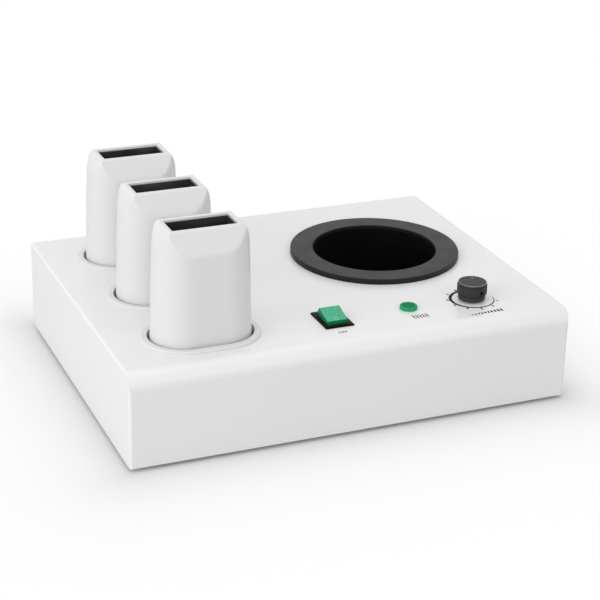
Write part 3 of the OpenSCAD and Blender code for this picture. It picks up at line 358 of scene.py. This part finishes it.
class ShellForm:
    """One roll-on heater's shell, in millimetres about the middle of its node."""

    # How much each side draws in from the bottom to the top
    DRAFT = 2.8
    # Half the crown's length and thickness at the top
    CROWN = (28.75, 15.0)
    # How far below the top the crown's faces and its round ends begin, and how the ends fade below that
    FACE_DROP = 16.5
    END_DROP = 26.0
    END_FADE = 0.35
    # Widths of the creases: the faces', and the ends' at the top and at their beginning
    FACE_BLEND = 1.0
    END_BLEND = (0.7, 3.6)
    WALL = 2.2
    # Half the length and thickness of the shell's opening, which holds the slot's liner
    SLOT = (25.35, 11.1)
    # Rounding of the top's outer edge and of the opening's edge, and the angles of their steps
    EDGE = 0.8
    EDGE_TURNS = (18, 36, 54, 72, 90)
    LIP = 0.4
    LIP_TURNS = (0, 30, 60, 90)
    # Rays in a quarter turn and along half the straight stretch, steps of each search, rings inside
    FAN_RAYS = 41
    STRAIGHT_RAYS = 8
    HALVINGS = 40
    INNER_RINGS = 40
    # The outer rings' three runs: where they begin and end below the top, and how many rings they have.
    # The first run begins FOOT above the bottom and the last ends at the top's rounding
    FOOT = 1
    PLAIN_END = 46
    BENDING = (44, 21)
    CREASED_START = 20
    RUN_RINGS = (10, 22, 36)
    # The least part of a ray's direction that is divided by
    TINY = 1e-9

    def __init__(self, node):
        low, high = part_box(node)
        self.place = Vector(((low.x + high.x) / 2, (low.y + high.y) / 2, 0))
        self.low, self.top = low.z / MM, high.z / MM
        self.height = self.top - self.low
        self.round = (high.y - low.y) / 2 / MM
        self.half = (high.x - low.x) / 2 / MM - self.round
        self.top_round = self.round - self.DRAFT
        self.end_x = self.half + self.top_round + self.DRAFT * self.END_DROP / self.height
        end_in = self.end_x - self.CROWN[0]
        self.end_r = (self.END_DROP ** 2 + end_in ** 2) / (2 * end_in)
        self.rays = self.make_rays()

    def make_rays(self):
        """Rays out of the middle line, all the way round: the start's x, then the direction."""
        corner = math.degrees(math.atan2(self.SLOT[1], self.SLOT[0] - self.half))
        angles = np.sort(np.append(np.linspace(0, 90, self.FAN_RAYS), corner))
        turned = np.radians(angles)
        fan = np.stack([np.full(len(angles), self.half), np.cos(turned), np.sin(turned)], 1)
        starts = np.linspace(self.half, 0, self.STRAIGHT_RAYS + 1)[1:]
        flat = np.stack([starts, np.zeros(self.STRAIGHT_RAYS), np.ones(self.STRAIGHT_RAYS)], 1)
        quarter = np.concatenate([fan, flat])
        upper = np.concatenate([quarter, (quarter * (-1, -1, 1))[::-1][1:]])
        return np.concatenate([upper, (upper * (1, 1, -1))[::-1][1:-1]])

    def field(self, x, y, z):
        """Below zero inside the body, and near to the distance from its surface."""
        x, y, down = np.abs(x), np.abs(y), self.top - z
        column = np.hypot(np.maximum(x - self.half, 0), y)
        column -= self.top_round + self.DRAFT * down / self.height
        slope = (self.top_round - self.CROWN[1]) / self.FACE_DROP
        face = (y - self.CROWN[1] - slope * down) / math.hypot(1, slope)
        rise = self.END_DROP - down
        end = np.hypot(x - self.end_x + self.end_r, np.maximum(rise, 0)) - self.end_r
        end += self.END_FADE * np.minimum(rise, 0)
        share = min(max(down / self.END_DROP, 0), 1)
        width = self.END_BLEND[0] + share * (self.END_BLEND[1] - self.END_BLEND[0])
        return soft_max(soft_max(column, face, self.FACE_BLEND), end, width)

    def outline(self, z, inset):
        """The ring at height z where the field is minus the inset."""
        near = np.zeros(len(self.rays))
        far = np.full(len(self.rays), 2 * self.round)
        for _ in range(self.HALVINGS):
            reach = (near + far) / 2
            x = self.rays[:, 0] + reach * self.rays[:, 1]
            inside = self.field(x, reach * self.rays[:, 2], z) < -inset
            near, far = np.where(inside, reach, near), np.where(inside, far, reach)
        return self.along_rays(near, z)

    def slot_ring(self, z, out):
        """The edge of the shell's opening at height z, widened by out."""
        a, b = self.SLOT[0] + out, self.SLOT[1] + out
        steep = np.maximum(np.abs(self.rays[:, 1]), self.TINY)
        side = np.maximum(np.abs(self.rays[:, 2]), self.TINY)
        return self.along_rays(np.minimum((a - np.abs(self.rays[:, 0])) / steep, b / side), z)

    def along_rays(self, reach, z):
        x = self.rays[:, 0] + reach * self.rays[:, 1]
        return np.stack([x, reach * self.rays[:, 2], np.full(len(reach), z)], 1)

    def wall_heights(self):
        """Heights of the outer rings, closer together towards the crown."""
        plain = np.linspace(self.low + self.FOOT, self.top - self.PLAIN_END, self.RUN_RINGS[0])
        start, end = self.BENDING
        bending = np.linspace(self.top - start, self.top - end, self.RUN_RINGS[1])
        creased = np.linspace(self.top - self.CREASED_START, self.top - self.EDGE, self.RUN_RINGS[2])
        return [self.low, *plain, *bending, *creased]

    def rings(self):
        """Rings up the outside, over the edge, into the slot and down the inside."""
        outer = [self.outline(z, 0) for z in self.wall_heights()]
        for turn in np.radians(self.EDGE_TURNS):
            rise, inset = self.EDGE * math.sin(turn), self.EDGE * (1 - math.cos(turn))
            outer.append(self.outline(self.top - self.EDGE + rise, inset))
        lip = []
        for turn in np.radians(self.LIP_TURNS):
            out, drop = self.LIP * (1 - math.sin(turn)), self.LIP * (1 - math.cos(turn))
            lip.append(self.slot_ring(self.top - drop, out))
        ceiling = self.top - self.WALL
        lip.append(self.slot_ring(ceiling, 0))
        inner = [self.outline(z, self.WALL) for z in np.linspace(ceiling, self.low, self.INNER_RINGS)]
        return outer + lip + inner


def make_shell(i):
    node = f"rollon_shell_{i}"
    form = ShellForm(node)
    mesh = ring_stack(form.rings(), node)
    mesh.transform(Matrix.Translation(form.place))
    piece = add_piece(f"rollon_casing_{i}", mesh, "white_plastic", f"rollon_{i}")
    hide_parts(node)


for i in ROLL_ONS:
    make_shell(i)


# ---------- prints on the panel: numbers, a plain word and small pictograms ----------
# Sizes and places are in millimetres, and a print's place is from the middle of what it belongs to.

INK_UP = 0.06
INK_DOWN = 0.02
# Share of a font's size that its capitals take
CAPITAL = 0.70


def flat_stroke(bm, middle, widths):
    """A thin solid band along points, as wide at each point as its width."""
    middle = np.array(middle, float)
    ahead = np.gradient(middle, axis=0)
    ahead /= np.linalg.norm(ahead, axis=1)[:, None]
    across = np.stack([-ahead[:, 1], ahead[:, 0]], 1) * np.array(widths, float)[:, None] / 2
    layers = []
    for z in (-INK_DOWN, INK_UP):
        for side in (middle + across, middle - across):
            layers.append([bm.verts.new((x * MM, y * MM, z * MM)) for x, y in side])
    low_left, low_right, high_left, high_right = layers
    bands = ((high_left, high_right), (low_right, low_left), (low_left, high_left), (high_right, low_right))
    for i in range(len(middle) - 1):
        for a, b in bands:
            bm.faces.new((a[i], b[i], b[i + 1], a[i + 1]))
    for i in (0, -1):
        bm.faces.new((low_left[i], low_right[i], high_right[i], high_left[i]))


def finish_print(name, bm, place, material="print_ink"):
    """Turns strokes about a place on the panel into a piece of the housing."""
    mesh = mesh_from(bm, name)
    mesh.transform(Matrix.Translation((place[0], place[1], PANEL_Z)))
    add_piece(name, mesh, material, "housing")


def add_letters(bm, words, x, y, height, bold, stretch=1.0):
    """Adds plain letters or numbers to bm, centred on x and y."""
    curve = bpy.data.curves.new("letters", "FONT")
    curve.body = words
    curve.align_x, curve.align_y = "CENTER", "CENTER"
    curve.size = height / CAPITAL * MM
    curve.extrude = (INK_UP + INK_DOWN) / 2 * MM
    curve.offset = bold * MM
    curve.resolution_u = 4
    holder = bpy.data.objects.new("letters", curve)
    bpy.context.scene.collection.objects.link(holder)
    mesh = bpy.data.meshes.new_from_object(holder.evaluated_get(bpy.context.evaluated_depsgraph_get()))
    mesh.transform(Matrix.Diagonal((stretch, 1, 1, 1)))
    mesh.transform(Matrix.Translation(Vector((x, y, (INK_UP - INK_DOWN) / 2)) * MM))
    bm.from_mesh(mesh)
    bpy.data.objects.remove(holder)
    bpy.data.curves.remove(curve)
    bpy.data.meshes.remove(mesh)


def on_circle(radius, degrees):
    return radius * math.cos(math.radians(degrees)), radius * math.sin(math.radians(degrees))


def beside(middle, at):
    return middle.x + at[0] * MM, middle.y + at[1] * MM


# The dial's arc runs clockwise from the first angle to the second. It is as wide as DIAL_ARC_W says
# at the shares of its way that DIAL_ARC_AT gives
DIAL_SCALE_RIGHT = 0.6
DIAL_ARC_R = 17.3
DIAL_ARC = (-5, -288)
DIAL_ARC_POINTS = 90
DIAL_ARC_AT = (0, 0.1, 0.3, 0.5, 0.62, 0.82, 1)
DIAL_ARC_W = (0.45, 0.8, 1.4, 2.0, 2.4, 2.6, 2.0)
DIAL_NUMBERS = 9
DIAL_NUMBER_R = 19.9
DIAL_FIRST = -31
DIAL_STEP = -32.2
NUMBER_H = 3.1
NUMBER_BOLD = 0.12


def make_dial_scale():
    place = DIAL + Vector((DIAL_SCALE_RIGHT * MM, 0, 0))
    turns = np.linspace(*DIAL_ARC, DIAL_ARC_POINTS)
    widths = np.interp(np.linspace(0, 1, DIAL_ARC_POINTS), DIAL_ARC_AT, DIAL_ARC_W)
    arc = bmesh.new()
    flat_stroke(arc, [on_circle(DIAL_ARC_R, a) for a in turns], widths)
    finish_print("dial_scale_arc", arc, place, "dial_ink")
    numbers = bmesh.new()
    for n in range(DIAL_NUMBERS):
        x, y = on_circle(DIAL_NUMBER_R, DIAL_FIRST + n * DIAL_STEP)
        add_letters(numbers, str(n + 1), x, y, NUMBER_H, NUMBER_BOLD)
    finish_print("dial_scale_numbers", numbers, place)


SWITCH_WORD_AT = (-1.5, -24)
SWITCH_WORD_H = 2.6
SWITCH_WORD_BOLD = 0.03
SWITCH_WORD_STRETCH = 1.15


def make_switch_word():
    word = bmesh.new()
    add_letters(word, "OFF", 0, 0, SWITCH_WORD_H, SWITCH_WORD_BOLD, SWITCH_WORD_STRETCH)
    finish_print("switch_label", word, beside(SWITCH, SWITCH_WORD_AT))


WAVES_AT = (2.4, -16.6)
WAVE_XS = (-5.6, -2.8, 0, 2.8, 5.6)
WAVE_HALF = 3.2
WAVE_POINTS = 25
WAVE_SWAY = 0.6
WAVE_RATE = 1.9
WAVE_W = 0.85


def make_heat_waves():
    """Wavy lines, side by side, that stand for heat."""
    waves = bmesh.new()
    rows = np.linspace(-WAVE_HALF, WAVE_HALF, WAVE_POINTS)
    for x in WAVE_XS:
        line = [(x + WAVE_SWAY * math.sin(r * WAVE_RATE), r) for r in rows]
        flat_stroke(waves, line, np.full(WAVE_POINTS, WAVE_W))
    finish_print("lamp_label", waves, beside(LAMP, WAVES_AT))


BARS_AT = (-0.6, -26.6)
BARS = 10
BAR_PITCH = 2.9
BAR_FOOT = -2.2
BAR_FIRST_TOP = -1.0
BAR_RISE = 0.36
BAR_W = 1.6


def make_bars():
    """A row of rising bars that stands for less to more."""
    bars = bmesh.new()
    for n in range(BARS):
        x = (n - (BARS - 1) / 2) * BAR_PITCH
        flat_stroke(bars, [(x, BAR_FOOT), (x, BAR_FIRST_TOP + BAR_RISE * n)], (BAR_W, BAR_W))
    finish_print("dial_label", bars, beside(DIAL, BARS_AT))


make_dial_scale()
make_switch_word()
make_heat_waves()
make_bars()


# ---------- rocker: the CAD shape with softened edges and its ring mark ----------

# The pivot's depth below the panel, then the top's height over the pivot at its ends, the depth of
# its dish and half its length
ROCKER_PIVOT_DOWN = 1.0
ROCKER_TOP = 7.4
ROCKER_DISH = 0.5
ROCKER_HALF = 8.8
ROCKER_EDGE = 0.45
# Edges that turn by less than FLAT are dissolved, and those that turn by more than CREASE are rounded
MERGE_GAP = 1e-6
FLAT = math.radians(1.5)
CREASE = math.radians(30)
EDGE_STEPS = 3
# Inner and outer radius of the ring mark, its place along the top, and its sides
RING_MARK = (1.5, 2.0)
RING_MARK_AT = -5.9
RING_MARK_SIDES = 48


def softened(node, edge):
    """A copy of a CAD node's mesh whose sharp edges are rounded."""
    bm = bmesh.new()
    bm.from_mesh(frame["nodes"][node].data)
    bmesh.ops.remove_doubles(bm, verts=bm.verts, dist=MERGE_GAP)
    bmesh.ops.dissolve_limit(bm, angle_limit=FLAT, verts=bm.verts, edges=bm.edges)
    sharp = [e for e in bm.edges if len(e.link_faces) == 2 and e.calc_face_angle(0) > CREASE]
    bmesh.ops.bevel(bm, geom=sharp, offset=edge * MM, segments=EDGE_STEPS, profile=0.5, affect="EDGES",
                    clamp_overlap=True)
    mesh = bpy.data.meshes.new(node)
    bm.to_mesh(mesh)
    bm.free()
    return mesh


def make_rocker_cap():
    mesh = softened("switch_rocker", ROCKER_EDGE)
    cap = add_piece("rocker_cap", mesh, "green_rocker", "rocker")
    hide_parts("switch_rocker")


def rocker_place():
    """The frame of the rocker's top: about its pivot, tilted as it rests."""
    swing = next(j for j in frame["joints"] if j["name"] == "rocker_tilt")["range_deg"]
    tilt = math.radians(swing[1] - swing[0]) / 2
    pivot = Vector((SWITCH.x, SWITCH.y, PANEL_Z - ROCKER_PIVOT_DOWN * MM))
    return Matrix.Translation(pivot) @ Matrix.Rotation(tilt, 4, "X")


def make_rocker_mark():
    """A thin ring on the slope of the rocker's dished top."""
    slope = math.atan2(ROCKER_DISH, ROCKER_HALF)
    at = Vector((0, RING_MARK_AT, ROCKER_TOP - ROCKER_DISH - RING_MARK_AT * math.tan(slope))) * MM
    inner, outer = RING_MARK
    section = ((inner, -INK_DOWN), (outer, -INK_DOWN), (outer, INK_UP), (inner, INK_UP))
    bm = bmesh.new()
    rings = []
    for turn in np.linspace(0, 360, RING_MARK_SIDES + 1)[:-1]:
        rings.append([bm.verts.new(Vector((*on_circle(r, turn), z)) * MM) for r, z in section])
    for a, b in zip(rings, rings[1:] + rings[:1]):
        for i in range(len(section)):
            j = (i + 1) % len(section)
            bm.faces.new((a[i], b[i], b[j], a[j]))
    mark = mesh_from(bm, "rocker_mark")
    mark.transform(rocker_place() @ Matrix.Translation(at) @ Matrix.Rotation(-slope, 4, "X"))
    add_piece("rocker_mark", mark, "pale_ink", "rocker")


make_rocker_cap()
make_rocker_mark()


# ---------- stage and light, in metres ----------

FLOOR_SIDE = 14
FLOOR_TONE = 0.74
# How much of the floor's own shade the camera sees at the housing's edge, and how soon that fades
FLOOR_SHADE = 0.93
SHADE_REACH = 0.038
WORLD_LIGHT = 0.62

# Name, place, the point that it faces, size and power in watts
STUDIO_LAMPS = (
    ("left", (-1.9, -0.6, 0.75), (0, 0, 0.08), (1.6, 1.2), 17.5),
    ("top", (0.0, 0.1, 1.8), (0, 0, 0.05), (1.6, 1.6), 7.5),
    ("back", (0.8, 1.9, 0.95), (0, 0, 0.08), (2.6, 1.3), 1.0),
    ("front_right", (0.75, -1.75, 0.95), (0, 0, 0.08), (1.0, 1.0), 3.5),
    ("front_left", (-1.1, -1.5, 1.2), (0, 0, 0.08), (1.0, 1.0), 2.0),
)


def distance_from_housing(m):
    """How far a point of the floor lies outside the housing's footprint."""
    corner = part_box("cover")[1]
    source = m.coords
    for step, amount in (("ABSOLUTE", None), ("SUBTRACT", (corner.x, corner.y, 0)), ("MAXIMUM", (0, 0, 0))):
        node = m.add("ShaderNodeVectorMath", operation=step)
        m.link(source, node.inputs[0])
        if amount:
            node.inputs[1].default_value = amount
        source = node.outputs[0]
    away = m.add("ShaderNodeVectorMath", operation="LENGTH")
    m.link(source, away.inputs[0])
    return away.outputs["Value"]


def white_share(m, value):
    """1 - FLOOR_SHADE * exp(-distance / SHADE_REACH)."""
    steps = (("MULTIPLY", -1 / SHADE_REACH), ("EXPONENT", 0), ("MULTIPLY", -FLOOR_SHADE), ("ADD", 1))
    for step, amount in steps:
        node = m.add("ShaderNodeMath", operation=step)
        m.link(value, node.inputs[0])
        node.inputs[1].default_value = amount
        value = node.outputs[0]
    return value


def make_floor():
    """A white floor that keeps the shadow near the housing and fades to white away from it."""
    bpy.ops.mesh.primitive_plane_add(size=FLOOR_SIDE, location=(0, 0, 0))
    floor = bpy.context.object
    floor.name = "studio_floor"
    m = Nodes("studio_floor")
    m.set(Base_Color=grey(FLOOR_TONE), Roughness=0.9, Specular_IOR_Level=0.0)
    value = white_share(m, distance_from_housing(m))
    share = m.add("ShaderNodeMath", operation="MULTIPLY")
    m.link(m.add("ShaderNodeLightPath").outputs["Is Camera Ray"], share.inputs[0])
    m.link(value, share.inputs[1])
    mix = m.add("ShaderNodeMixShader")
    m.link(share.outputs[0], mix.inputs[0])
    m.link(m.shader.outputs[0], mix.inputs[1])
    m.link(m.add("ShaderNodeEmission").outputs[0], mix.inputs[2])
    m.link(mix.outputs[0], m.out.inputs["Surface"])
    floor.data.materials.append(m.material)


def make_world():
    """Soft light from all round, which the camera and reflections see as white."""
    world = bpy.data.worlds.new("studio")
    bpy.context.scene.world = world
    world.use_nodes = True
    tree = world.node_tree
    tree.nodes.clear()
    out = tree.nodes.new("ShaderNodeOutputWorld")
    light = tree.nodes.new("ShaderNodeBackground")
    seen = tree.nodes.new("ShaderNodeBackground")
    for background, strength in ((light, WORLD_LIGHT), (seen, 1.0)):
        background.inputs["Color"].default_value = (1, 1, 1, 1)
        background.inputs["Strength"].default_value = strength
    path = tree.nodes.new("ShaderNodeLightPath")
    mix = tree.nodes.new("ShaderNodeMixShader")
    share = path.outputs["Is Camera Ray"]
    for ray in ("Is Transmission Ray", "Is Glossy Ray"):
        both = tree.nodes.new("ShaderNodeMath")
        both.operation = "MAXIMUM"
        tree.links.new(share, both.inputs[0])
        tree.links.new(path.outputs[ray], both.inputs[1])
        share = both.outputs[0]
    tree.links.new(share, mix.inputs[0])
    tree.links.new(light.outputs[0], mix.inputs[1])
    tree.links.new(seen.outputs[0], mix.inputs[2])
    tree.links.new(mix.outputs[0], out.inputs[0])


def add_lamp(name, place, target, size, watts):
    data = bpy.data.lights.new(name, "AREA")
    data.shape = "RECTANGLE"
    data.size, data.size_y = size
    data.energy = watts
    lamp = bpy.data.objects.new(name, data)
    lamp.location = place
    lamp.rotation_euler = (Vector(target) - Vector(place)).to_track_quat("-Z", "Y").to_euler()
    bpy.context.scene.collection.objects.link(lamp)


make_camera()
make_world()
make_floor()
for row in STUDIO_LAMPS:
    add_lamp(*row)
bpy.context.scene.view_settings.view_transform = "Standard"
